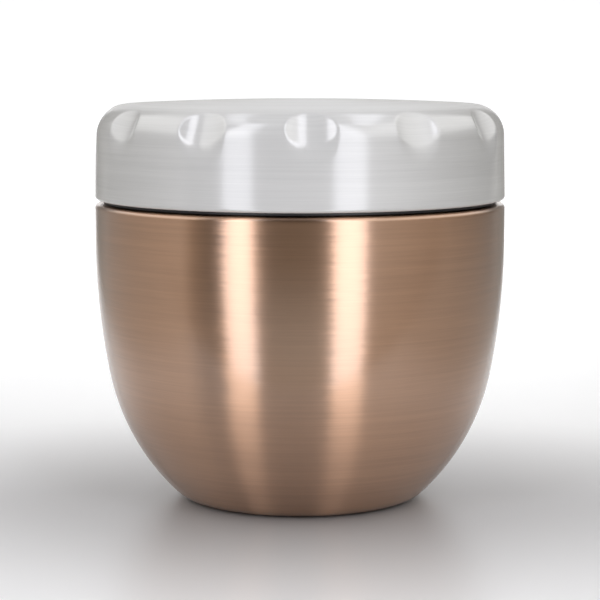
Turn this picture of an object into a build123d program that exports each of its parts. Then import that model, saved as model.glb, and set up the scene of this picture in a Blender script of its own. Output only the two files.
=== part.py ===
from build123d import *
import os
from math import asin, cos, degrees, radians, sin, sqrt

# Insulated steel bowl with a screw lid, in millimetres: +Z up, origin at the centre of the foot.
# Round pieces are profiles in the XZ plane, x as radius and y as height, turned about Z.

# Outer shell of the bowl
body_radius = 60.0
shell_wall = 0.6
shoulder_height = 87.3
shoulder_radius = 1.3
wall_length = 9.3
belly_angle = 11.0
haunch_radius = 66.0
haunch_angle = 35.0
heel_radius = 9.5
neck_root_radius = 1.0

# Inner shell and the vacuum space round it
inner_wall = 0.5
neck_gap = 1.0
floor_height = 9.0
floor_corner_radius = 12.0
foil_wall = 0.2
foil_fit = 0.1
foil_margin = 3.0

# Vacuum base, its seal-off, getter and cover
base_wall = 0.6
foot_width = 4.0
recess_height = 2.4
press_slope = 1.0
seal_well_radius = 6.0
seal_well_depth = 2.0
pump_hole_radius = 1.0
bead_radius = 2.6
bead_height = 0.9
getter_radius = 4.0
getter_height = 1.8
clip_wall = 0.3
clip_width = 3.0
clip_foot = 2.5
clip_fit = 0.1
cover_wall = 0.8
cover_fit = 0.1
cover_chamfer = 0.3

# Lid cap
lid_gap = 1.2
lid_wall_length = 17.7
lid_lean = 1.2
lid_corner_radius = 9.0
lid_crown_radius = 1000.0
cap_wall = 0.6
hem_radius = 1.1
hem_return = 0.8

# Thumb dimples pressed across the cap's upper corner
dimple_count = 12
dimple_radius = 17.0
dimple_depth = 1.9
dimple_tilt = 24.0

# Threaded liner, foam and seal inside the lid
liner_fit = 0.1
skirt_wall = 2.2
lip_clearance = 0.3
thread_depth = 1.0
thread_clearance = 0.5
snap_depth = 0.7
snap_height = 1.5
snap_fit = 0.1
ceiling_drop = 0.3
ceiling_wall = 2.0
ceiling_chamfer = 2.0
seal_gap = 0.3
seal_height = 1.6
seal_clearance = 0.1
seal_chamfer = 0.4
plug_gap = 0.8
plug_wall = 1.6
plug_drop = 1.4
foam_clearance = 0.3

# The belly's arc fills the height that the wall, the haunch and the heel leave
belly_turn = radians(belly_angle)
haunch_turn = radians(belly_angle + haunch_angle)
belly_top = shoulder_height - shoulder_radius - wall_length
haunch_fall = haunch_radius * (sin(haunch_turn) - sin(belly_turn))
heel_fall = heel_radius * (1 - sin(haunch_turn))
belly_radius = (belly_top - haunch_fall - heel_fall) / sin(belly_turn)
haunch_centre_height = belly_top - (belly_radius - haunch_radius) * sin(belly_turn)
base_radius = (
    body_radius
    - belly_radius * (1 - cos(belly_turn))
    - haunch_radius * (cos(belly_turn) - cos(haunch_turn))
    - heel_radius * cos(haunch_turn)
)

# The cap stands flush with the bowl's wall, the neck inside the lid's thread, the mouth in the neck
lid_radius = body_radius
hem_bore = lid_radius - 2 * hem_radius
liner_radius = hem_bore - liner_fit
skirt_bore = liner_radius - skirt_wall
neck_radius = skirt_bore - thread_depth - thread_clearance
mouth_radius = neck_radius - shell_wall - neck_gap - inner_wall
rim_radius = (neck_radius - mouth_radius) / 2
plug_radius = mouth_radius - plug_gap

# Corner and crown of the cap: the crown's arc meets the corner's arc at a common tangent
lean = radians(lid_lean)
lid_bottom = shoulder_height + lid_gap
hem_top = lid_bottom + hem_radius + hem_return
wall_top_radius = lid_radius - hem_radius * (1 - cos(lean)) - lid_wall_length * sin(lean)
wall_top_height = lid_bottom + hem_radius * (1 + sin(lean)) + lid_wall_length * cos(lean)
corner_radius_at = wall_top_radius - lid_corner_radius * cos(lean)
corner_height = wall_top_height - lid_corner_radius * sin(lean)
crown_angle = degrees(asin(corner_radius_at / (lid_crown_radius - lid_corner_radius)))
crown_drop = lid_crown_radius - (lid_crown_radius - lid_corner_radius) * cos(radians(crown_angle))
lid_top = corner_height + crown_drop

# Each dimple is a round scoop whose axis leans in over the corner
scoop_reach = lid_corner_radius - dimple_depth + dimple_radius
scoop_distance = corner_radius_at + scoop_reach * cos(radians(dimple_tilt))
scoop_height = corner_height + scoop_reach * sin(radians(dimple_tilt))
scoop_length = 2 * scoop_reach

# Levels inside the lid, from the cap's corner down to the rim of the bowl
ceiling_top = corner_height - ceiling_drop
seal_seat = ceiling_top - ceiling_wall
seal_bottom = seal_seat - seal_clearance - seal_height
rim_top = seal_bottom - seal_gap
rim_height = rim_top - rim_radius
snap_bottom = hem_top + snap_fit
liner_bottom = shoulder_height + lip_clearance

# Levels of the base, and the getter halfway between the well and the foot
plate_top = recess_height + base_wall
well_top = recess_height + seal_well_depth
foot_bore = base_radius - foot_width
cover_radius = foot_bore - press_slope - cover_fit
getter_offset = (seal_well_radius + foot_bore - press_slope) / 2


def side_curves(face_inset, top, end_angle):
    """Draw one face of the bowl's side from height top down, inset from the outer face.

    A straight wall runs into the belly's arc and then the haunch's arc, which stops where
    the side has turned inward by end_angle degrees in all.
    """
    wall = Line((body_radius - face_inset, top), (body_radius - face_inset, belly_top))
    belly = JernArc(wall @ 1, wall % 1, belly_radius - face_inset, -belly_angle)
    return JernArc(belly @ 1, belly % 1, haunch_radius - face_inset, belly_angle - end_angle)


def cap_face():
    """Draw the outer face of the cap's wall, corner and crown, from the hem up to the axis."""
    start = (lid_radius - hem_radius * (1 - cos(lean)), lid_bottom + hem_radius * (1 + sin(lean)))
    wall = PolarLine(start, lid_wall_length, 90 + lid_lean)
    corner = JernArc(wall @ 1, wall % 1, lid_corner_radius, 90 - lid_lean - crown_angle)
    JernArc(corner @ 1, corner % 1, lid_crown_radius, crown_angle)
    return wall


# Outer shell: neck, shoulder, wall, belly, haunch and heel in one drawn sheet
with BuildPart() as outer_shell:
    with BuildSketch(Plane.XZ):
        with BuildLine():
            neck = Line((neck_radius, rim_height), (neck_radius, shoulder_height + neck_root_radius))
            root = JernArc(neck @ 1, neck % 1, neck_root_radius, 90)
            flat = Line(root @ 1, (body_radius - shoulder_radius, shoulder_height))
            JernArc(flat @ 1, flat % 1, shoulder_radius, -90)
            haunch = side_curves(0, shoulder_height - shoulder_radius, belly_angle + haunch_angle)
            JernArc(haunch @ 1, haunch % 1, heel_radius, belly_angle + haunch_angle - 90)
            offset(amount=shell_wall, side=Side.RIGHT)
        make_face()
    revolve(axis=Axis.Z)

# Inner shell: rolled rim on the neck's edge, straight wall, belly and round-cornered floor
food_inset = body_radius - mouth_radius
floor_angle = degrees(asin((haunch_centre_height - floor_height) / (haunch_radius - food_inset)))
with BuildPart() as inner_shell:
    with BuildSketch(Plane.XZ):
        with BuildLine() as food_face:
            JernArc((neck_radius, rim_height), (0, 1), rim_radius, 180)
            haunch = side_curves(food_inset, rim_height, floor_angle)
            Line(haunch @ 1, (0, floor_height))
            fillet(food_face.vertices().sort_by_distance(haunch @ 1)[0], floor_corner_radius)
            offset(amount=inner_wall, side=Side.LEFT)
        make_face()
    revolve(axis=Axis.Z)

# Radiation foil: wrapped round the inner shell from under the shoulder to the haunch
foil_inset = food_inset - inner_wall - foil_fit
with BuildPart() as radiation_foil:
    with BuildSketch(Plane.XZ):
        with BuildLine():
            side_curves(foil_inset, shoulder_height - shell_wall - foil_margin, haunch_angle)
            offset(amount=foil_wall, side=Side.LEFT)
        make_face()
    revolve(axis=Axis.Z)

# Vacuum base: flat foot ring, raised plate and a well with the pumping hole
with BuildPart() as vacuum_base:
    with BuildSketch(Plane.XZ):
        with BuildLine():
            Polyline(
                (base_radius, 0),
                (foot_bore, 0),
                (foot_bore - press_slope, recess_height),
                (seal_well_radius, recess_height),
                (seal_well_radius - press_slope, well_top),
                (pump_hole_radius, well_top),
            )
            offset(amount=base_wall, side=Side.RIGHT, kind=Kind.INTERSECTION)
        make_face()
    revolve(axis=Axis.Z)

# Seal bead: braze domed over the pumping hole, inside the well
with BuildPart() as seal_bead:
    with BuildSketch(Plane.XZ):
        with BuildLine():
            dome = TangentArc((0, well_top - bead_height), (bead_radius, well_top), tangent=(1, 0))
            Polyline(dome @ 1, (0, well_top), dome @ 0)
        make_face()
    revolve(axis=Axis.Z)

# Getter: a pressed pill on the plate, beside the well
with BuildPart() as getter:
    with Locations((getter_offset, 0, plate_top)):
        Cylinder(getter_radius, getter_height, align=(Align.CENTER, Align.CENTER, Align.MIN))

# Getter clip: a strip bent over the pill, with a foot on the plate at each end
clip_reach = getter_radius + clip_fit
with BuildPart() as getter_clip:
    with BuildSketch(Plane.YZ.offset(getter_offset - clip_width / 2)):
        with BuildLine():
            Polyline(
                (-clip_reach - clip_wall - clip_foot, plate_top),
                (-clip_reach, plate_top),
                (-clip_reach, plate_top + getter_height + clip_fit),
                (clip_reach, plate_top + getter_height + clip_fit),
                (clip_reach, plate_top),
                (clip_reach + clip_wall + clip_foot, plate_top),
            )
            offset(amount=clip_wall, side=Side.LEFT, kind=Kind.INTERSECTION)
        make_face()
    extrude(amount=clip_width)

# Base cover: a disc under the plate that hides the pumping hole
with BuildPart() as base_cover:
    with Locations((0, 0, recess_height)):
        Cylinder(cover_radius, cover_wall, align=(Align.CENTER, Align.CENTER, Align.MAX))
    chamfer(base_cover.faces().sort_by(Axis.Z)[0].edges(), cover_chamfer)

# Cap form: the cap's outer form, filled, from which the dimples' floors are shaped
with BuildPart() as cap_form:
    with BuildSketch(Plane.XZ):
        with BuildLine():
            wall = cap_face()
            Polyline(wall @ 0, (0, (wall @ 0).Y), (0, lid_top))
        make_face()
    revolve(axis=Axis.Z)

# Dimple floors: the sheet that follows each scoop, inside the cap's form
with BuildPart() as dimple_floors:
    with Locations((0, 0, scoop_height)):
        with PolarLocations(scoop_distance, dimple_count):
            Cylinder(dimple_radius + cap_wall, scoop_length, rotation=(0, -dimple_tilt, 0))
    add(cap_form.part, mode=Mode.INTERSECT)

# Lid cap: drawn sheet with a rolled hem, and the dimples pressed into its corner
with BuildPart() as lid_cap:
    with BuildSketch(Plane.XZ):
        with BuildLine():
            hem_end = Line((hem_bore, hem_top), (hem_bore, hem_top - hem_return))
            JernArc(hem_end @ 1, hem_end % 1, hem_radius, 180 + lid_lean)
            cap_face()
            offset(amount=cap_wall, side=Side.LEFT)
        make_face()
    revolve(axis=Axis.Z)
    add(dimple_floors.part)
    with Locations((0, 0, scoop_height)):
        with PolarLocations(scoop_distance, dimple_count):
            Cylinder(dimple_radius, scoop_length, rotation=(0, -dimple_tilt, 0), mode=Mode.SUBTRACT)

# Lid liner: skirt with a snap bead above the hem, a ceiling, and a plug ring that holds the seal
with BuildPart() as lid_liner:
    with BuildSketch(Plane.XZ):
        with BuildLine():
            Polyline(
                (skirt_bore, liner_bottom),
                (liner_radius, liner_bottom),
                (liner_radius, snap_bottom),
                (liner_radius + snap_depth, snap_bottom),
                (liner_radius + snap_depth, snap_bottom + snap_height - snap_depth),
                (liner_radius, snap_bottom + snap_height),
                (liner_radius, ceiling_top - ceiling_chamfer),
                (liner_radius - ceiling_chamfer, ceiling_top),
                (0, ceiling_top),
                (0, seal_seat),
                (plug_radius - plug_wall, seal_seat),
                (plug_radius - plug_wall, seal_seat - plug_drop),
                (plug_radius, seal_seat - plug_drop),
                (plug_radius, seal_seat),
                (skirt_bore, seal_seat),
                close=True,
            )
        make_face()
    revolve(axis=Axis.Z)

# Lid insulation: a foam disc on the ceiling, under the crown
foam_radius = corner_radius_at - foam_clearance
foam_sag = lid_crown_radius - sqrt(lid_crown_radius**2 - foam_radius**2)
foam_height = lid_top - foam_sag - cap_wall - foam_clearance - ceiling_top
with BuildPart() as lid_insulation:
    with Locations((0, 0, ceiling_top)):
        Cylinder(foam_radius, foam_height, align=(Align.CENTER, Align.CENTER, Align.MIN))

# Lid seal: a soft ring between the plug ring and the skirt, just above the rim
with BuildPart() as lid_seal:
    with BuildSketch(Plane.XY.offset(seal_bottom)):
        Circle(skirt_bore - seal_clearance)
        Circle(plug_radius + seal_clearance, mode=Mode.SUBTRACT)
    extrude(amount=seal_height)
    chamfer(lid_seal.edges().filter_by(GeomType.CIRCLE), seal_chamfer)

pieces = {
    "outer_shell": outer_shell,
    "inner_shell": inner_shell,
    "radiation_foil": radiation_foil,
    "vacuum_base": vacuum_base,
    "seal_bead": seal_bead,
    "getter": getter,
    "getter_clip": getter_clip,
    "base_cover": base_cover,
    "lid_cap": lid_cap,
    "lid_liner": lid_liner,
    "lid_insulation": lid_insulation,
    "lid_seal": lid_seal,
}
os.makedirs("parts", exist_ok=True)
for name, piece in pieces.items():
    piece.part.label = name
    export_step(piece.part, f"parts/{name}.step")
print(f"lid top {lid_top:.2f}, rim top {rim_top:.2f}, mouth radius {mouth_radius:.2f}, foot {base_radius:.2f}")
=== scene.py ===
"""Insulated steel bowl with a screw lid: its surfaces, finishes, light and camera on the CAD frame."""

import math

import bpy
import numpy as np
from mathutils import Matrix


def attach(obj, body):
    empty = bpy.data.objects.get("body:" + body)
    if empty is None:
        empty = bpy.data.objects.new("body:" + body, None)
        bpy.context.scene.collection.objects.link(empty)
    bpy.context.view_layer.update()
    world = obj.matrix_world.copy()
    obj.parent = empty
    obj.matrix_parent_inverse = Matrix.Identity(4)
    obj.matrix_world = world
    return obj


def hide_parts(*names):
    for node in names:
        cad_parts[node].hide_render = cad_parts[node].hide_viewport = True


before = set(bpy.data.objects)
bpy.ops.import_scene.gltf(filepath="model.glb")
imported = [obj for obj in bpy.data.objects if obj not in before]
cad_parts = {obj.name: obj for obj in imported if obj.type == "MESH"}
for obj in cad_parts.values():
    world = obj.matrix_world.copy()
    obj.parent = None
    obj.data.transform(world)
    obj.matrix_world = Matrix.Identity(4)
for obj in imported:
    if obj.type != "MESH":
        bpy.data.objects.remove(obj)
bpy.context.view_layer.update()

# Sizes of the CAD part that the surfaces follow, in millimetres and degrees
BODY_RADIUS = 60.0
SHELL_WALL = 0.6
NECK_RADIUS = 54.0
MOUTH_RADIUS = 51.9
RIM_HEIGHT = 101.781
SHOULDER_HEIGHT = 87.3
SHOULDER_RADIUS = 1.3
WALL_LENGTH = 9.3
BELLY_RADIUS = 205.183
BELLY_ANGLE = 11.0
HAUNCH_RADIUS = 66.0
HAUNCH_ANGLE = 35.0
HEEL_RADIUS = 9.5
BASE_RADIUS = 30.691
BASE_WALL = 0.6
FOOT_BORE = 26.691
PRESS_SLOPE = 1.0
RECESS_HEIGHT = 2.4
WELL_RADIUS = 6.0
WELL_DEPTH = 2.0
PUMP_HOLE = 1.0
INNER_WALL = 0.5
FLOOR_HEIGHT = 9.0
FLOOR_CORNER = 12.0
LID_BOTTOM = 88.5
HEM_RADIUS = 1.1
HEM_RETURN = 0.8
LID_LEAN = 1.2
LID_WALL = 17.7
LID_CORNER = 9.0
CROWN_RADIUS = 1000.0
CROWN_ANGLE = 2.9287
CAP_WALL = 0.6
SCOOP_COUNT = 12
SCOOP_RADIUS = 17.0
SCOOP_TILT = 24.0
SCOOP_REACH = 24.1
CORNER_AT = (50.631, 107.131)
SKIRT_BORE = 55.5
LINER_RADIUS = 57.7
LINER_BOTTOM = 87.6
CEILING_TOP = 106.831
SNAP_RADIUS = 58.4
SNAP_BOTTOM = 90.5
SNAP_EDGE = 91.3
SNAP_TOP = 92.0
PLUG_BORE = 49.5
PLUG_RADIUS = 51.1
PLUG_DEPTH = 1.4
SEAL_SEAT = 104.831
SEAL_BORE = 51.2
SEAL_RADIUS = 55.4
SEAL_BOTTOM = 103.131
SEAL_TOP = 104.731
SEAL_EDGE = 0.4
DISC_RADIUS = 25.591
DISC_BOTTOM = 1.6

# Threads, in millimetres and turns, and the rims of the dimples, which are finer here than in the solids
LEAD = 6.0
THREAD_TURNS = 1.25
THREAD_REACH = 1.2
THREAD_RUNOUT = 0.12
NECK_THREAD_START = 92.6
SKIRT_THREAD_START = 89.6
RIM_CRISP = 0.3
RIM_SOFTER = 1.3
RIM_SOFTER_FROM = 110.5
RIM_SOFTER_OVER = 7.0
DEEPEST_PRESS = 4.0
UNPRESSED_WALL = 9.0
CLOSE_WALL = 6.0

# Heights over which the neck's colour and the coat of the lid change, in metres
NECK_COLOUR_FROM = 0.0874
NECK_COLOUR_FULL = 0.0878
COAT_FADE = 0.003

# Camera as fitted to the outline, in metres and radians, with its turn round Z counted from X
CAMERA_DISTANCE = 0.629
CAMERA_HEIGHT = 0.1331
CAMERA_TURN = math.radians(-93.0)
CAMERA_PITCH = 0.1185

# Table, in metres from the axis towards the back
TABLE_FRONT = -0.128
TABLE_BACK = 0.9
TABLE_REACH = 1.1
TABLE_TOP = 1.6
SWEEP_RADIUS = 0.5


def smooth(x):
    """Smooth step from 0 to 1 as x goes from 0 to 1."""
    x = np.clip(x, 0, 1)
    return x * x * (3 - 2 * x)


def walk(start, heading, *moves, spacing=1.0, bow=6.0):
    """Points along a path from start, facing heading in degrees, that makes each move in turn.

    A move (length, 0) goes straight. A move (radius, turn) follows an arc that turns left by turn degrees.
    Points lie at most spacing millimetres apart, and at most bow degrees apart on an arc.
    """
    runs = [np.array([start], float)]
    for size, turn in moves:
        here, way = runs[-1][-1], math.radians(heading)
        length = size * abs(math.radians(turn)) if turn else size
        count = 2 + max(int(abs(turn) / bow), int(length / spacing))
        share = np.linspace(0, 1, count)[1:, None]
        if turn:
            side = math.copysign(1, turn)
            centre = here + side * size * np.array([-math.sin(way), math.cos(way)])
            angle = way - side * math.pi / 2 + math.radians(turn) * share
            runs.append(centre + size * np.hstack([np.cos(angle), np.sin(angle)]))
        else:
            runs.append(here + share * size * np.array([math.cos(way), math.sin(way)]))
        heading += turn
    return np.vstack(runs)


def left_normals(line):
    """Unit normals to the left of a line of points, from the central difference along it."""
    along = np.gradient(line, axis=0)
    along /= np.linalg.norm(along, axis=1, keepdims=True)
    return np.stack([-along[:, 1], along[:, 0]], axis=1)


def rounded(corners, spacing=1.0):
    """Outline through corners (x, y, radius), each replaced by an arc tangent to both of its sides.

    Points lie at most spacing millimetres apart. An outline with both ends on the axis stays open there.
    """
    table = np.array(corners, float)
    points, radii = table[:, :2], table[:, 2]
    runs = []
    for i, radius in enumerate(radii):
        here, back, on = points[i], points[i - 1], points[(i + 1) % len(points)]
        to_back = (back - here) / np.linalg.norm(back - here)
        to_on = (on - here) / np.linalg.norm(on - here)
        half = math.acos(np.clip(to_back @ to_on, -1, 1)) / 2
        if radius == 0:
            runs.append(here[None])
            continue
        first = here + to_back * radius / math.tan(half)
        middle = (to_back + to_on) / np.linalg.norm(to_back + to_on)
        centre = here + middle * radius / math.sin(half)
        arm = (first - centre) / radius
        turn = (math.pi - 2 * half) * math.copysign(1, arm[1] * to_back[0] - arm[0] * to_back[1])
        angle = turn * np.linspace(0, 1, 7)[:, None]
        runs.append(centre + radius * (arm * np.cos(angle) + np.array([-arm[1], arm[0]]) * np.sin(angle)))
    loop = np.vstack(runs)
    gaps = np.linalg.norm(np.roll(loop, -1, axis=0) - loop, axis=1)
    if points[0][0] == 0 and points[-1][0] == 0:
        gaps[-1] = 0
    dense = []
    for here, on, gap in zip(loop, np.roll(loop, -1, axis=0), gaps):
        steps = np.linspace(0, 1, 1 + int(gap / spacing) + 1)[:-1, None]
        dense.append(here + steps * (on - here))
    return np.vstack(dense)


def turned(name, outline, bend=None, columns=None):
    """Closed surface made by turning an outline of (radius, height) points, in millimetres, about Z.

    An outline that starts and ends on the axis closes in a pole at each end; any other closes on itself.
    bend(angle, radius, height) may move the points of the turned grid within their half planes. columns
    gives the turns at which the outline stands, from 0 to 1, and is 256 even ones if it is left out.
    The mesh carries a UV of (turn, share of the outline) and the point attribute path, the length in
    metres along the outline.
    """
    outline = np.asarray(outline, float)
    poles = abs(outline[0, 0]) < 1e-6 and abs(outline[-1, 0]) < 1e-6
    if columns is None:
        columns = np.arange(256) / 256
    angle = 2 * math.pi * np.asarray(columns)[None, :]
    count, rows = angle.shape[1], len(outline)
    after = np.roll(outline, -1, axis=0)
    if np.sum(outline[:, 0] * after[:, 1] - after[:, 0] * outline[:, 1]) < 0:
        outline = outline[::-1]
    path = np.concatenate([[0], np.cumsum(np.linalg.norm(np.diff(outline, axis=0), axis=1))])
    radius, height = outline[:, :1] + 0 * angle, outline[:, 1:] + 0 * angle
    if bend:
        radius, height = bend(angle, radius, height)
    grid = np.stack([radius * np.cos(angle), radius * np.sin(angle), height], -1)

    last = rows - 1 if poles else rows
    row, column = np.meshgrid(np.arange(last), np.arange(count), indexing="ij")
    below, beside = (row + 1) % rows, (column + 1) % count
    quads = np.stack(
        [row * count + column, row * count + beside, below * count + beside, below * count + column], -1
    ).reshape(-1, 4)
    turn = np.append(columns, 1.0)
    share = np.append(path / path[-1], 1.0)
    corner_u = np.stack([turn[column], turn[column + 1], turn[column + 1], turn[column]], -1).reshape(-1, 4)
    corner_v = np.stack([share[row], share[row], share[row + 1], share[row + 1]], -1).reshape(-1, 4)
    keep = np.ones(quads.shape, bool)
    if poles:
        quads = np.where(quads < count, 0, quads)
        quads = np.where(quads >= (rows - 1) * count, (rows - 1) * count, quads)
        keep[:count, 1] = False
        keep[-count:, 2] = False
    names, loops = np.unique(quads[keep], return_inverse=True)
    sizes = keep.sum(1)

    mesh = bpy.data.meshes.new(name)
    mesh.vertices.add(len(names))
    mesh.vertices.foreach_set("co", (0.001 * grid.reshape(-1, 3)[names]).astype(np.float32).ravel())
    mesh.loops.add(len(loops))
    mesh.loops.foreach_set("vertex_index", loops.astype(np.int32).ravel())
    mesh.polygons.add(len(sizes))
    mesh.polygons.foreach_set("loop_start", np.concatenate([[0], np.cumsum(sizes)[:-1]]).astype(np.int32))
    mesh.polygons.foreach_set("use_smooth", np.ones(len(sizes), bool))
    layer = mesh.uv_layers.new(name="UVMap")
    layer.data.foreach_set("uv", np.stack([corner_u[keep], corner_v[keep]], -1).astype(np.float32).ravel())
    lengths = mesh.attributes.new("path", "FLOAT", "POINT")
    lengths.data.foreach_set("value", (0.001 * np.repeat(path, count)[names]).astype(np.float32))
    mesh.update()
    mesh.validate()
    mesh.set_sharp_from_angle(angle=math.radians(40))
    piece = bpy.data.objects.new(name, mesh)
    bpy.context.scene.collection.objects.link(piece)
    return piece


def sheet(face, wall, thin=3):
    """Closed outline of a sheet: its face, and the same line moved wall to the left with fewer points."""
    back = face + wall * left_normals(face)
    keep = np.unique(np.append(np.arange(0, len(back), thin), len(back) - 1))
    return np.vstack([face, back[keep][::-1]])


def thread(angle, height, first):
    """Height of a right-hand thread, from 0 to 1, at an angle in radians and a height in millimetres.

    The crest climbs LEAD in each turn from height first, for THREAD_TURNS. Its section is a smooth step on
    both flanks that ends THREAD_REACH from the crest, and both ends of the ridge run out smoothly.
    """
    turn = angle / (2 * math.pi)
    along = turn + np.round((height - first) / LEAD - turn)
    off = np.abs(height - first - LEAD * along) / THREAD_REACH
    run_in, run_out = smooth(along / THREAD_RUNOUT), smooth((THREAD_TURNS - along) / THREAD_RUNOUT)
    return smooth(1.7 * (1 - off)) * run_in * run_out


# Outer shell of the bowl: neck with a rolled thread, shoulder, wall, belly, haunch and heel
shell_face = walk(
    (NECK_RADIUS, RIM_HEIGHT), -90,
    (RIM_HEIGHT - SHOULDER_HEIGHT - 1, 0), (1.0, 90), (BODY_RADIUS - SHOULDER_RADIUS - NECK_RADIUS - 1, 0),
    (SHOULDER_RADIUS, -90), (WALL_LENGTH, 0), (BELLY_RADIUS, -BELLY_ANGLE), (HAUNCH_RADIUS, -HAUNCH_ANGLE),
    (HEEL_RADIUS, BELLY_ANGLE + HAUNCH_ANGLE - 90), spacing=0.7,
)


def roll_neck(angle, radius, height):
    """The neck's outer face with the thread rolled 1 mm out of it."""
    on_neck = (np.abs(radius - NECK_RADIUS) < 0.01) & (height > SHOULDER_HEIGHT + 1)
    return radius + on_neck * thread(angle, height, NECK_THREAD_START), height


bowl_outer = turned("bowl_outer", sheet(shell_face, -SHELL_WALL), roll_neck)

# Inner shell: rolled rim, straight wall, belly, haunch and round-cornered floor
inset = BODY_RADIUS - MOUTH_RADIUS
belly_top = SHOULDER_HEIGHT - SHOULDER_RADIUS - WALL_LENGTH
haunch_at = np.array([
    BODY_RADIUS - BELLY_RADIUS + (BELLY_RADIUS - HAUNCH_RADIUS) * math.cos(math.radians(BELLY_ANGLE)),
    belly_top - (BELLY_RADIUS - HAUNCH_RADIUS) * math.sin(math.radians(BELLY_ANGLE)),
])
corner_turn = math.degrees(
    math.asin((haunch_at[1] - FLOOR_HEIGHT - FLOOR_CORNER) / (HAUNCH_RADIUS - inset - FLOOR_CORNER))
)
corner_x = haunch_at[0] + (HAUNCH_RADIUS - inset - FLOOR_CORNER) * math.cos(math.radians(corner_turn))
food_face = walk(
    (NECK_RADIUS, RIM_HEIGHT), 90,
    ((NECK_RADIUS - MOUTH_RADIUS) / 2, 180), (RIM_HEIGHT - belly_top, 0),
    (BELLY_RADIUS - inset, -BELLY_ANGLE), (HAUNCH_RADIUS - inset, BELLY_ANGLE - corner_turn),
    (FLOOR_CORNER, corner_turn - 90), (corner_x, 0), spacing=1.2,
)
food_face[-1, 0] = 0
food_back = food_face + INNER_WALL * left_normals(food_face)
food_back[-1, 0] = 0
bowl_inner = turned("bowl_inner", np.vstack([food_face[::-1], food_back]))

# Cap of the lid: hem, wall, corner and crown, with the dimples pressed into the corner
cap_face = walk(
    (BODY_RADIUS - 2 * HEM_RADIUS, LID_BOTTOM + HEM_RADIUS + HEM_RETURN), -90,
    (HEM_RETURN, 0), (HEM_RADIUS, 180 + LID_LEAN), (LID_WALL - CLOSE_WALL, 0), spacing=2.0, bow=10.0,
)
cap_corner = walk(
    cap_face[-1], 90 + LID_LEAN,
    (CLOSE_WALL, 0), (LID_CORNER, 90 - LID_LEAN - CROWN_ANGLE), spacing=0.32,
)
cap_crown = walk(cap_corner[-1], 180 - CROWN_ANGLE, (CROWN_RADIUS, CROWN_ANGLE), spacing=3.5)
cap_crown[-1, 0] = 0
cap_line = np.vstack([cap_face, cap_corner[1:], cap_crown[1:]])
cap_in = left_normals(cap_line)
cap_back = cap_line + CAP_WALL * cap_in
cap_back[-1, 0] = 0
cap_keep = np.unique(np.append(np.arange(0, len(cap_line), 3), len(cap_line) - 1))
cap_outline = np.vstack([cap_back[cap_keep][::-1], cap_line])
cap_inward = np.vstack([cap_in[cap_keep][::-1], cap_in])
cap_scoop = np.append(np.full(len(cap_keep), SCOOP_RADIUS + CAP_WALL), np.full(len(cap_line), SCOOP_RADIUS))


def press(angle, radius, height):
    """The cap's faces pushed inward until they clear every scoop, with rims crisp above and soft below.

    A point at depth t along its inward normal lies on the pressed face where the smooth maximum of -t and
    of the scoop's radius less the distance from the scoop's axis is zero. Bisection finds t for all points,
    and the lowest UNPRESSED_WALL of the lid is left as it is.
    """
    pitch = 2 * math.pi / SCOOP_COUNT
    turn = (angle + pitch / 2) % pitch - pitch / 2
    tilt = math.radians(SCOOP_TILT)
    lean = np.array([-math.sin(tilt), 0, math.cos(tilt)])
    out, up = SCOOP_REACH * math.cos(tilt), SCOOP_REACH * math.sin(tilt)
    axis = np.array([CORNER_AT[0] + out, 0, CORNER_AT[1] + up])
    soft = RIM_CRISP + RIM_SOFTER * smooth((RIM_SOFTER_FROM - height) / RIM_SOFTER_OVER)
    low, high = np.zeros_like(radius), np.full_like(radius, DEEPEST_PRESS)
    for _ in range(26):
        depth = (low + high) / 2
        r, z = radius + depth * cap_inward[:, :1], height + depth * cap_inward[:, 1:]
        away = np.stack([r * np.cos(turn), r * np.sin(turn), z], -1) - axis
        away = away - (away @ lean)[..., None] * lean
        cut = cap_scoop[:, None] - np.linalg.norm(away, axis=-1)
        blend = np.maximum(soft - np.abs(cut + depth), 0) / soft
        over = np.maximum(-depth, cut) + blend**2 * soft / 4 > 0
        low, high = np.where(over, depth, low), np.where(over, high, depth)
    depth = np.where(high < 1e-5, 0, high) * (height > LID_BOTTOM + UNPRESSED_WALL)
    return radius + depth * cap_inward[:, :1], height + depth * cap_inward[:, 1:]


# Columns of the cap, in shares of a turn: close together across each dimple, wider between two
near = np.concatenate([np.linspace(-8, 8, 45)[:-1], np.linspace(8, 22, 13)[:-1]]) / 360
cap_columns = np.sort(((np.arange(SCOOP_COUNT) / SCOOP_COUNT)[:, None] + near).ravel() % 1)
lid_top = turned("lid_top", cap_outline, press, cap_columns)

# Liner of the lid: skirt with an inner thread, snap bead, ceiling and the plug ring inside the seal
liner_outline = rounded(
    [
        (0, SEAL_SEAT, 0),
        (PLUG_BORE, SEAL_SEAT, 0.3), (PLUG_BORE, SEAL_SEAT - PLUG_DEPTH, 0.3),
        (PLUG_RADIUS, SEAL_SEAT - PLUG_DEPTH, 0.3), (PLUG_RADIUS, SEAL_SEAT, 0.2),
        (SKIRT_BORE, SEAL_SEAT, 0.3), (SKIRT_BORE, LINER_BOTTOM, 0.3), (LINER_RADIUS, LINER_BOTTOM, 0.3),
        (LINER_RADIUS, SNAP_BOTTOM, 0.05), (SNAP_RADIUS, SNAP_BOTTOM, 0.2),
        (SNAP_RADIUS, SNAP_EDGE, 0.2), (LINER_RADIUS, SNAP_TOP, 0.1),
        (LINER_RADIUS, CEILING_TOP - 2, 0.5), (LINER_RADIUS - 2, CEILING_TOP, 0.5), (0, CEILING_TOP, 0),
    ],
    spacing=0.5,
)


def cut_skirt(angle, radius, height):
    """The skirt's bore with a thread that stands 1 mm in, half a lead off the thread on the neck."""
    on_bore = np.abs(radius - SKIRT_BORE) < 0.01
    on_skirt = on_bore & (height > LINER_BOTTOM + 0.3) & (height < SEAL_SEAT - 0.3)
    return radius - on_skirt * thread(angle, height, SKIRT_THREAD_START), height


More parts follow.
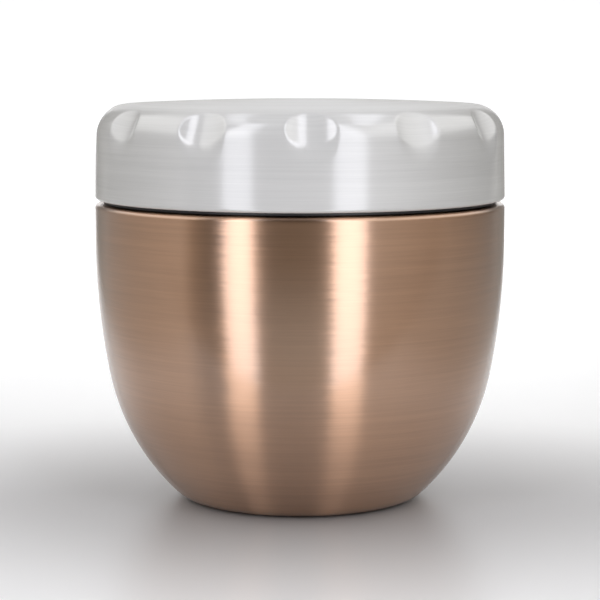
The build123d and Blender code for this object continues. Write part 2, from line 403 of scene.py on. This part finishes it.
lid_inner = turned("lid_inner", liner_outline, cut_skirt, np.arange(192) / 192)

# Seal ring under the ceiling of the liner
seal_ring = turned(
    "seal_ring",
    rounded(
        [
            (SEAL_BORE, SEAL_BOTTOM, SEAL_EDGE), (SEAL_RADIUS, SEAL_BOTTOM, SEAL_EDGE),
            (SEAL_RADIUS, SEAL_TOP, SEAL_EDGE), (SEAL_BORE, SEAL_TOP, SEAL_EDGE),
        ],
        spacing=0.5,
    ),
)

# Pressed base with the foot ring, plate and seal-off well, and the cover disc under it
plate_top, well_top = RECESS_HEIGHT + BASE_WALL, RECESS_HEIGHT + WELL_DEPTH


def bend_shift(rise):
    """How far the upper bends of a pressed wall lie outside the lower ones, for the wall's rise."""
    slope = PRESS_SLOPE / rise
    return BASE_WALL * (math.hypot(1, slope) - slope)


foot_bend, well_bend = FOOT_BORE + bend_shift(RECESS_HEIGHT), WELL_RADIUS + bend_shift(WELL_DEPTH)
bowl_base = turned(
    "bowl_base",
    rounded(
        [
            (BASE_RADIUS, BASE_WALL, 0.05), (foot_bend, BASE_WALL, 0.5),
            (foot_bend - PRESS_SLOPE, plate_top, 0.3), (well_bend, plate_top, 0.5),
            (well_bend - PRESS_SLOPE, well_top + BASE_WALL, 0.5),
            (PUMP_HOLE, well_top + BASE_WALL, 0.05), (PUMP_HOLE, well_top, 0.05),
            (WELL_RADIUS - PRESS_SLOPE, well_top, 0.3), (WELL_RADIUS, RECESS_HEIGHT, 0.5),
            (FOOT_BORE - PRESS_SLOPE, RECESS_HEIGHT, 0.5), (FOOT_BORE, 0, 0.5), (BASE_RADIUS, 0, 0.1),
        ],
        spacing=0.8,
    ),
)
base_disc = turned(
    "base_disc",
    rounded(
        [
            (0, DISC_BOTTOM, 0), (DISC_RADIUS, DISC_BOTTOM, 0.35),
            (DISC_RADIUS, RECESS_HEIGHT, 0.05), (0, RECESS_HEIGHT, 0),
        ],
        spacing=0.8,
    ),
)


class Field:
    """An output socket of a node tree. Arithmetic on it adds Math nodes to the tree."""

    def __init__(self, tree, socket=None):
        self.tree, self.socket = tree, socket

    def node(self, kind, inputs=(), output=0, **settings):
        """One output of a new node with the settings, and inputs given as {socket: value or Field}."""
        made = self.tree.nodes.new(kind)
        for key, value in settings.items():
            setattr(made, key, value)
        for key, value in dict(inputs).items():
            if isinstance(value, Field):
                self.tree.links.new(value.socket, made.inputs[key])
            else:
                made.inputs[key].default_value = value
        return Field(self.tree, made.outputs[output])

    def out(self, output):
        """Another output of the same node."""
        return Field(self.tree, self.socket.node.outputs[output])

    def math(self, operation, *others):
        """One Math node on this field and the others."""
        return self.node("ShaderNodeMath", enumerate((self, *others)), operation=operation)

    def __add__(self, other):
        return self.math("ADD", other)

    def __sub__(self, other):
        return self.math("SUBTRACT", other)

    def __rsub__(self, other):
        return self.node("ShaderNodeMath", {0: other, 1: self}, operation="SUBTRACT")

    def __mul__(self, other):
        return self.math("MULTIPLY", other)

    def __truediv__(self, other):
        return self.math("DIVIDE", other)

    def __rtruediv__(self, other):
        return self.node("ShaderNodeMath", {0: other, 1: self}, operation="DIVIDE")

    __radd__ = __add__
    __rmul__ = __mul__

    def ramp(self, low, high):
        """0 at low, 1 at high, smooth between."""
        return self.node("ShaderNodeMapRange", {0: self, 1: low, 2: high}, interpolation_type="SMOOTHSTEP")

    def mix(self, first, second):
        """Colour from first to second as this field goes from 0 to 1."""
        return self.node("ShaderNodeMix", {0: self, 6: first, 7: second}, output=2, data_type="RGBA")

    def noise(self, vector, scale=1.0, detail=2.0):
        """Noise about 0.5 at a vector."""
        return self.node("ShaderNodeTexNoise", {"Vector": vector, "Scale": scale, "Detail": detail})

    def pack(self, x, y, z):
        """A vector of three fields or numbers."""
        return self.node("ShaderNodeCombineXYZ", {0: x, 1: y, 2: z})


def new_material(name, **constants):
    """A material, its Principled shader with the named inputs set, and a Field to start its nodes from."""
    material = bpy.data.materials.new(name)
    material.use_nodes = True
    shader = next(n for n in material.node_tree.nodes if n.type == "BSDF_PRINCIPLED")
    for key, value in constants.items():
        shader.inputs[key.replace("_", " ")].default_value = value
    return material, shader, Field(material.node_tree)


def feed(shader, **fields):
    """Link fields to the shader's inputs."""
    for key, field in fields.items():
        field.tree.links.new(field.socket, shader.inputs[key.replace("_", " ")])


def shade(colour, by):
    """The colour with its brightness times by, as an opaque RGBA."""
    return tuple(by * c for c in colour) + (1.0,)


def brushed(name, colour, rough, streak, sway=0.1, neck=None, crown=None, **constants):
    """Metal brushed round the axis: long streaks round Z, fine across, in colour, roughness and relief.

    Each scratch also leans its normal a little to one side, by sway, so that highlights have combed edges.
    neck is the colour of the metal above the shoulder, and crown is the height in metres where a coat ends.
    """
    material, shader, start = new_material(name, Metallic=1.0, Anisotropic_Rotation=0.25, **constants)
    place = start.node("ShaderNodeTexCoord", output=3)
    path = start.node("ShaderNodeAttribute", output=2, attribute_name="path")
    x = start.node("ShaderNodeSeparateXYZ", {0: place})
    y, z = x.out(1), x.out(2)
    fine = start.noise(start.pack(x * 60, y * 60, path * 5200), detail=3.0)
    lines = start.noise(start.pack(x * 14, y * 14, path * 1100), detail=3.0)
    bands = start.noise(start.pack(x * 5, y * 5, path * 130), detail=2.0)
    cloud = start.noise(place, scale=28.0, detail=3.0)
    scratch = start.noise(start.pack(x * 50, y * 50, path * 2600), detail=1.0)
    grain = fine * 0.35 + lines * 0.4 + bands * 0.25
    tone = (grain - 0.5) * streak + 0.5
    dark, light = shade(colour, 0.86), shade(colour, 1.14)
    base = tone.mix(dark, light)
    if neck:
        base = z.ramp(NECK_COLOUR_FROM, NECK_COLOUR_FULL).mix(base, shade(neck, 1.0))
    if crown:
        feed(shader, Coat_Weight=z.ramp(crown, crown - COAT_FADE))
    relief = start.node("ShaderNodeBump", {"Strength": 0.25, "Distance": 0.00002, "Height": fine + lines})
    round_axis = start.node("ShaderNodeVectorMath", {0: start.pack(0 - y, x, 0.0)}, operation="NORMALIZE")
    lean = start.node("ShaderNodeVectorMath", {0: round_axis, 3: (scratch - 0.5) * sway}, operation="SCALE")
    lean = start.node("ShaderNodeVectorTransform", {0: lean}, convert_from="OBJECT", convert_to="WORLD")
    leaning = start.node("ShaderNodeVectorMath", {0: relief, 1: lean}, operation="ADD")
    feed(
        shader,
        Base_Color=base,
        Roughness=(grain - 0.5) * 0.16 + (cloud - 0.5) * 0.06 + rough,
        Normal=start.node("ShaderNodeVectorMath", {0: leaning}, operation="NORMALIZE"),
    )
    return material


copper = brushed(
    "copper_brushed", (0.53, 0.308, 0.187), 0.335, 2.0, sway=0.06, neck=(0.62, 0.62, 0.61),
    Anisotropic=1.0, Coat_Weight=1.0, Coat_Roughness=0.18, Coat_IOR=1.85,
)
lid_metal = brushed(
    "lid_brushed", (0.75, 0.746, 0.736), 0.82, 1.2, crown=0.1165, Anisotropic=0.3,
    Coat_Roughness=0.16, Coat_IOR=1.9,
)
inner_metal = brushed("inner_brushed", (0.60, 0.60, 0.59), 0.33, 0.6, Anisotropic=0.5)


def speckled(name, colour, rough, scale, depth, spread=0.3, metallic=0.0):
    """Moulded, pressed or foamed stuff: cloudy and fine noise in colour, roughness and relief."""
    material, shader, start = new_material(name, Metallic=metallic)
    place = start.node("ShaderNodeTexCoord", output=3)
    fine = start.noise(place, scale=scale, detail=3.0)
    cloud = start.noise(place, scale=40.0, detail=3.0)
    both = fine * 0.6 + cloud * 0.4
    feed(
        shader,
        Base_Color=((both - 0.5) * 1.6 + 0.5).mix(shade(colour, 1 - spread), shade(colour, 1 + spread)),
        Roughness=(both - 0.5) * 0.3 + rough,
        Normal=start.node("ShaderNodeBump", {"Strength": 0.4, "Distance": depth, "Height": fine}),
    )
    return material


plastic = speckled("dark_plastic", (0.022, 0.022, 0.024), 0.42, 2600.0, 0.00003)
silicone = speckled("silicone", (0.55, 0.55, 0.54), 0.5, 1800.0, 0.00002, 0.08)
foam = speckled("foam", (0.80, 0.77, 0.70), 0.85, 1500.0, 0.0003, 0.12)
foil = speckled("foil", (0.80, 0.46, 0.32), 0.22, 300.0, 0.0004, 0.12, 1.0)
braze = speckled("braze", (0.50, 0.48, 0.45), 0.38, 1200.0, 0.00005, 0.15, 1.0)
pill = speckled("getter_pill", (0.13, 0.13, 0.14), 0.7, 2200.0, 0.0001, 0.3, 0.6)
clip_steel = speckled("clip_steel", (0.52, 0.52, 0.53), 0.32, 900.0, 0.00003, 0.1, 1.0)

for piece, body, node, slot, material in (
    (bowl_outer, "bowl", "outer_shell", "copper_steel", copper),
    (bowl_inner, "bowl", "inner_shell", "liner_steel", inner_metal),
    (bowl_base, "bowl", "vacuum_base", "base_steel", copper),
    (base_disc, "bowl", "base_cover", "base_steel", copper),
    (lid_top, "lid", "lid_cap", "lid_steel", lid_metal),
    (lid_inner, "lid", "lid_liner", "dark_plastic", plastic),
    (seal_ring, "seal_ring", "lid_seal", "silicone", silicone),
):
    piece.data.materials.append(material)
    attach(piece, body)
    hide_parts(node)

for node, slot, material in (
    ("radiation_foil", "copper_foil", foil),
    ("seal_bead", "braze", braze),
    ("getter", "getter_pill", pill),
    ("getter_clip", "clip_steel", clip_steel),
    ("lid_insulation", "lid_foam", foam),
):
    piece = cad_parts[node]
    piece.data.materials.clear()
    piece.data.materials.append(material)


def stand(turn, distance, height):
    """A point at a turn in degrees to the right of the camera, a distance from the axis and a height."""
    heading = CAMERA_TURN + math.radians(turn)
    return np.array([distance * math.cos(heading), distance * math.sin(heading), height])


camera_data = bpy.data.cameras.new("camera")
camera_data.lens = 128.43
camera_data.sensor_width = 36.0
camera = bpy.data.objects.new("camera", camera_data)
bpy.context.scene.collection.objects.link(camera)
camera.location = stand(0, CAMERA_DISTANCE, CAMERA_HEIGHT)
camera.rotation_euler = (math.pi / 2 - CAMERA_PITCH, 0, CAMERA_TURN + math.pi / 2)
bpy.context.scene.camera = camera


def lamp(name, first, last, width, radiance):
    """Soft box that runs from first to last and faces the axis at the lid's height.

    Its brightness is radiance: the power is that times pi times the area.
    """
    length = np.linalg.norm(last - first)
    along = (last - first) / length
    away = (first + last) / 2 - np.array([0, 0, 0.1])
    away = away - (away @ along) * along
    away /= np.linalg.norm(away)
    light = bpy.data.lights.new(name, "AREA")
    light.shape = "RECTANGLE"
    light.size, light.size_y = width, length
    light.energy = radiance * math.pi * width * length
    light.color = (0.98, 0.99, 1.06)
    box = bpy.data.objects.new(name, light)
    bpy.context.scene.collection.objects.link(box)
    turned_to = np.stack([np.cross(along, away), along, away], axis=1)
    box.rotation_euler = Matrix(turned_to.tolist()).to_euler()
    box.location = (first + last) / 2
    box.visible_camera = False


lamp("strip_left", stand(-30.7, 0.9, -0.7), stand(-39.3, 0.9, 1.9), 0.26, 2.85)
lamp("strip_right", stand(26.7, 0.9, -0.7), stand(26.7, 0.9, 1.9), 0.28, 2.85)
lamp("rail_left", stand(-47, 0.84, 1.37), stand(-158, 0.70, 1.37), 0.13, 2.0)
lamp("rail_right", stand(49, 0.86, 1.37), stand(155, 0.70, 1.37), 0.22, 2.0)

# Pale table: a line that runs back, sweeps up behind the bowl and is carried across, in metres
climb = np.linspace(0, math.pi / 2, 24)
table_line = np.vstack([
    np.stack([np.linspace(TABLE_FRONT, TABLE_BACK, 40), np.zeros(40)], 1),
    np.stack([
        TABLE_BACK + SWEEP_RADIUS * np.sin(climb),
        SWEEP_RADIUS - SWEEP_RADIUS * np.cos(climb),
    ], 1)[1:],
    np.array([(TABLE_BACK + SWEEP_RADIUS, TABLE_TOP)]),
])
across = np.linspace(-TABLE_REACH, TABLE_REACH, 24)
table_shape = (len(table_line), len(across))
sweep = np.stack([
    np.broadcast_to(across[None, :], table_shape),
    np.broadcast_to(table_line[:, :1], table_shape),
    np.broadcast_to(table_line[:, 1:], table_shape),
], -1)
knots = np.arange(sweep[..., 0].size).reshape(table_shape)
table_mesh = bpy.data.meshes.new("table")
table_mesh.from_pydata(
    sweep.reshape(-1, 3).tolist(), [],
    np.stack([knots[:-1, :-1], knots[:-1, 1:], knots[1:, 1:], knots[1:, :-1]], -1).reshape(-1, 4).tolist(),
)
table_mesh.polygons.foreach_set("use_smooth", np.ones(len(table_mesh.polygons), bool))
table = bpy.data.objects.new("table", table_mesh)
table.rotation_euler = (0, 0, CAMERA_TURN + math.pi / 2)
bpy.context.scene.collection.objects.link(table)


def pale_paper():
    """Satin paper: pale, grey at both sides, painted shadow round the foot of the bowl, whiter far behind
    it.

    The far white is an emission that only camera, glossy and transmission rays see.
    """
    paper, shader, start = new_material(
        "paper", Roughness=0.34, Specular_IOR_Level=0.6, Emission_Strength=1.0
    )
    place = start.node("ShaderNodeTexCoord", output=3)
    grain = start.noise(place, 6.0, 3.0)
    right = start.node("ShaderNodeSeparateXYZ", {0: place})
    far = right.out(1).math("MAXIMUM", 0.0)
    aside = (right.math("MAXIMUM", right * -0.8) - far * 0.14).ramp(0.09, 0.20)
    pale = (aside + (grain - 0.5) * 0.05).mix((0.88, 0.88, 0.88, 1), (0.39, 0.375, 0.345, 1))
    # Painted shadow: the paper's colour darkens to grey round the foot of the bowl and pales out by 0.17 m
    # from the axis
    clear = start.node("ShaderNodeVectorMath", {0: place}, output=1, operation="LENGTH").ramp(0.035, 0.17)
    ray = start.node("ShaderNodeLightPath")
    seen = ray.math("MAXIMUM", ray.out(3)).math("MAXIMUM", ray.out(6))
    glow = far / (far + 0.63) * (1 - aside) * seen
    feed(
        shader,
        Base_Color=clear.mix((0.41, 0.412, 0.415, 1), pale),
        Emission_Color=glow.mix((0, 0, 0, 1), (0.7, 0.7, 0.7, 1)),
    )
    return paper


table_mesh.materials.append(pale_paper())


def room_light(tree):
    """Light of the room, by direction from the bowl.

    The walls go by degrees to the right of the camera: dark round the camera and far to the right, brighter
    to the left and behind the bowl. The ground is pale towards the camera, bright eaves stand high at both
    sides with a gap to the left, and the ceiling is dim.
    """
    start = Field(tree)
    dx = start.node("ShaderNodeSeparateXYZ", {0: start.node("ShaderNodeTexCoord", output=0)})
    dy, dz = dx.out(1), dx.out(2)
    right = dx * math.cos(CAMERA_TURN + math.pi / 2) + dy * math.sin(CAMERA_TURN + math.pi / 2)
    front = dx * math.cos(CAMERA_TURN) + dy * math.sin(CAMERA_TURN)
    turn = right.math("ARCTAN2", front) / (2 * math.pi) + 0.5
    wall = start.node("ShaderNodeValToRGB", {0: turn})
    stops = wall.socket.node.color_ramp.elements
    levels = (
        (-180, 0.55), (-164, 0.42), (-128, 0.31), (-103, 0.29), (-83, 0.35), (-67, 0.46), (-62, 0.02),
        (20, 0.06), (42, 0.46), (61, 0.32), (77, 0.19), (96, 0.10), (119, 0.08), (150, 0.14), (164, 0.35),
        (180, 0.55),
    )
    while len(stops) < len(levels):
        stops.new(0.5)
    for stop, (degree, level) in zip(stops, levels):
        stop.position = degree / 360 + 0.5
        stop.color = (level, 0.985 * level, 0.96 * level, 1)
    ground = (0 - dz).ramp(0.04, 0.42)
    floor = front.ramp(0.75, 0.95).mix((0.28, 0.27, 0.25, 1), (0.90, 0.87, 0.80, 1))
    gap = (turn - 0.35).math("ABSOLUTE").ramp(0.012, 0.03)
    eaves = dz.ramp(0.15, 0.5) * right.math("ABSOLUTE").ramp(0.3, 0.65) * gap
    room = eaves.mix(ground.mix(wall, floor), (1.6, 1.59, 1.56, 1))
    return dz.ramp(0.78, 0.92).mix(room, (0.25, 0.25, 0.25, 1))


world = bpy.data.worlds.new("studio")
world.use_nodes = True
bpy.context.scene.world = world
background = next(n for n in world.node_tree.nodes if n.type == "BACKGROUND")
world.node_tree.links.new(room_light(world.node_tree).socket, background.inputs[0])

bpy.context.scene.view_settings.view_transform = "Standard"
